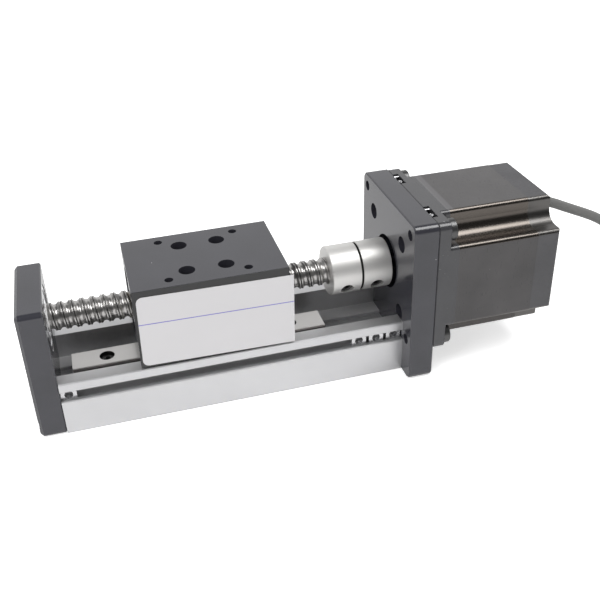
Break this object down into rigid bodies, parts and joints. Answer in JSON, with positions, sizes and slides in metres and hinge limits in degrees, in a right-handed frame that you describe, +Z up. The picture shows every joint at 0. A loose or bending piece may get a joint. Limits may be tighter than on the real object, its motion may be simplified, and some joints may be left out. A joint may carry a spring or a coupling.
{
  "type": "ball screw linear module",
  "caption": "Short motor-driven ball screw slide: a carriage on a profiled rail in an open channel base between two end plates, turned by a flange-mounted stepper motor.",
  "frame": {"origin": "centre of the base extrusion's underside, on the mounting surface", "axes": "+X along the screw towards the motor, +Y away from the labelled side, +Z up"},
  "size_m": [0.3163, 0.0896, 0.0695],
  "materials": {
    "clear_anodised": "silver anodised, fine satin",
    "black_anodised": "black anodised, satin",
    "label_white": "white, semi-matt",
    "rail_steel": "ground",
    "bearing_steel": "polished",
    "screw_steel": "ground and polished",
    "black_steel": "black oxide",
    "zinc_steel": "zinc plated",
    "coupling_aluminium": "turned, satin",
    "motor_lamination": "black paint over laminations, satin",
    "motor_cap": "black paint, satin",
    "rotor_steel": "ground",
    "cap_plastic": "moulded, matt",
    "wiper_plastic": "moulded, matt",
    "black_rubber": "matt",
    "cable_grey": "matt jacket",
    "tie_black": "moulded, semi-matt",
    "lead_colours": "coloured insulation"
  },
  "bodies": {
    "module_frame": {"base_extrusion": "clear_anodised", "left_end_plate": "black_anodised", "end_plate_screws": "black_steel", "motor_plate": "black_anodised", "motor_plate_screws": "black_steel", "guide_rail": "rail_steel", "rail_screws": "black_steel", "slot_nuts": "zinc_steel", "end_bearing_outer": "bearing_steel", "end_bearing_balls": "bearing_steel", "end_bearing_shields": "zinc_steel", "motor_front_bell": "motor_cap", "motor_stator": "motor_lamination", "motor_rear_cap": "motor_cap", "motor_mount_screws": "black_steel", "motor_tie_screws": "zinc_steel", "front_bearing_outer": "bearing_steel", "front_bearing_balls": "bearing_steel", "rear_bearing_outer": "bearing_steel", "rear_bearing_balls": "bearing_steel", "cable_gland": "black_rubber", "motor_cable": "cable_grey", "cable_coil": "cable_grey", "cable_tie": "tie_black", "lead_wires": "lead_colours"},
    "carriage": {"carriage_block": "black_anodised", "label_plate": "label_white", "guide_block": "rail_steel", "guide_block_caps": "cap_plastic", "guide_block_seals": "black_rubber", "guide_block_screws": "black_steel", "ball_nut": "bearing_steel", "nut_wipers": "wiper_plastic", "nut_screws": "black_steel"},
    "screw_line": {"ball_screw": "screw_steel", "coupling": "coupling_aluminium", "coupling_set_screws": "black_steel", "motor_shaft": "bearing_steel", "motor_rotor": "rotor_steel", "end_bearing_inner": "bearing_steel", "screw_circlip": "black_steel", "front_bearing_inner": "bearing_steel", "rear_bearing_inner": "bearing_steel"}
  },
  "joints": [
    {"name": "screw_spin", "type": "hinge", "parent": "module_frame", "child": "screw_line", "pos_m": [0, 0, 0.041], "axis": [1, 0, 0], "range_deg": [-1755, 2745]},
    {"name": "carriage_slide", "type": "slide", "parent": "module_frame", "child": "carriage", "axis": [1, 0, 0], "range_m": [-0.0305, 0.0195]}
  ],
  "couplings": [
    {"joint": "carriage_slide", "follows": "screw_spin", "m_per_rad": -0.0006366}
  ]
}
